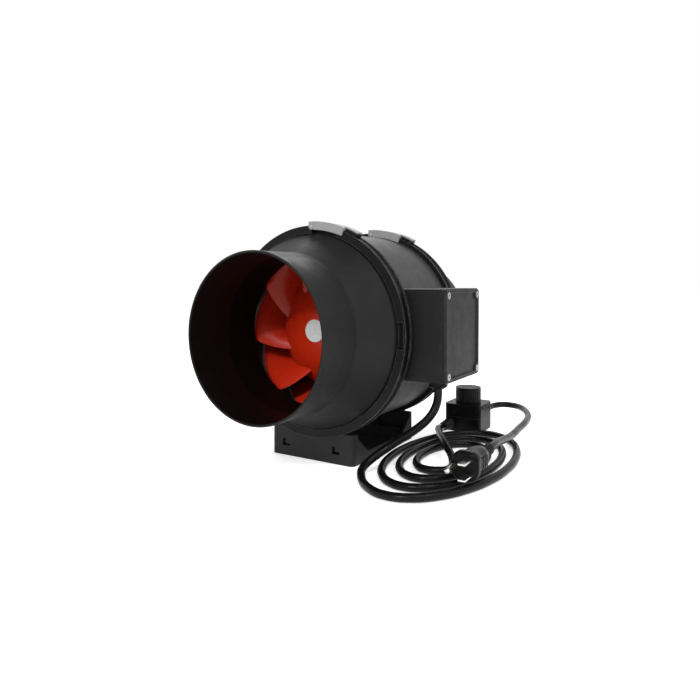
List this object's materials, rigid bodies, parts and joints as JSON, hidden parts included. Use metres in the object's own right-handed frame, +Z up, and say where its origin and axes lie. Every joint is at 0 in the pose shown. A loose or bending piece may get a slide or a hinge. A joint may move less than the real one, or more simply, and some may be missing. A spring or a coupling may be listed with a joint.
{
  "type": "inline duct fan",
  "caption": "Round inline mixed-flow duct fan with latched clamp bands, cradle base, side terminal box, red impeller, coiled cord, speed controller and plug.",
  "frame": {"origin": "middle of the mounting base's underside", "axes": "+Y along the fan axis with the flow, inlet towards -Y; +Z up; +X towards the terminal box"},
  "size_m": [0.2791, 0.3982, 0.2293],
  "materials": {
    "casing": "fine moulded texture, dark charcoal",
    "centre_casing": "smooth moulded, charcoal grey",
    "black_plastic": "moulded, black",
    "base_plastic": "moulded, slightly coarse texture",
    "lever_grey": "satin light grey",
    "impeller_red": "glossy red",
    "label_white": "satin foil, blank",
    "lid_grey": "satin, dark grey",
    "controller_black": "satin black",
    "rubber": "matt black rubber",
    "cord_jacket": "smooth black PVC",
    "screw_steel": "bright zinc",
    "steel": "turned steel",
    "lamination": "stacked laminations",
    "cast_alloy": "die-cast",
    "copper": "enamelled copper wire",
    "magnet": "sintered ferrite",
    "terminal_white": "moulded, off-white",
    "board_green": "printed circuit board",
    "nickel": "nickel plated"
  },
  "bodies": {
    "housing": {"inlet_casing": "casing", "inlet_nozzle": "black_plastic", "outlet_casing": "casing", "centre_casing": "centre_casing", "front_gasket": "rubber", "rear_gasket": "rubber", "front_clamp_band": "black_plastic", "rear_clamp_band": "black_plastic", "front_latch_catch": "black_plastic", "rear_latch_catch": "black_plastic", "latch_pins": "steel", "mounting_base": "base_plastic", "base_screws": "screw_steel", "impeller_shroud": "casing", "vane_ring": "casing", "guide_vanes": "casing", "vane_hub": "casing", "tail_cone": "casing", "bearing_tube": "cast_alloy", "front_bearing": "steel", "rear_bearing": "steel", "stator_core": "lamination", "stator_windings": "copper", "motor_screws": "screw_steel", "terminal_box": "black_plastic", "terminal_lid": "lid_grey", "lid_gasket": "rubber", "lid_screws": "screw_steel", "terminal_block": "terminal_white", "run_capacitor": "terminal_white", "gland_body": "black_plastic", "gland_nut": "black_plastic", "gland_seal": "rubber", "gland_locknut": "black_plastic", "fan_cord": "cord_jacket", "fan_cord_coil": "cord_jacket", "fan_cord_end": "cord_jacket", "controller_lower": "controller_black", "controller_upper": "controller_black", "controller_board": "board_green", "controller_screws": "screw_steel", "speed_control": "cast_alloy", "controller_front_boot": "rubber", "controller_rear_boot": "rubber", "plug_cord": "cord_jacket", "plug_body": "controller_black", "plug_boot": "rubber", "plug_blades": "nickel", "plug_ground_pin": "nickel"},
    "rotor": {"impeller_hub": "impeller_red", "impeller_blades": "impeller_red", "nose_label": "label_white", "impeller_screws": "screw_steel", "shaft": "steel", "rotor_bell": "steel", "rotor_magnets": "magnet"},
    "front_lever": {"front_latch_lever": "lever_grey"},
    "rear_lever": {"rear_latch_lever": "lever_grey"},
    "knob": {"speed_knob": "controller_black", "knob_spindle": "steel"}
  },
  "joints": [
    {"name": "impeller_spin", "type": "hinge", "parent": "housing", "child": "rotor", "pos_m": [0, 0, 0.124], "axis": [0, -1, 0], "continuous": true},
    {"name": "front_latch_hinge", "type": "hinge", "parent": "housing", "child": "front_lever", "pos_m": [0.003, -0.057, 0.22496], "axis": [0, -1, 0], "range_deg": [0, 95]},
    {"name": "rear_latch_hinge", "type": "hinge", "parent": "housing", "child": "rear_lever", "pos_m": [0.003, 0.057, 0.22496], "axis": [0, -1, 0], "range_deg": [0, 95]},
    {"name": "knob_turn", "type": "hinge", "parent": "housing", "child": "knob", "pos_m": [0.08375, 0.137, 0.04], "axis": [0, 0, -1], "range_deg": [0, 270]}
  ]
}
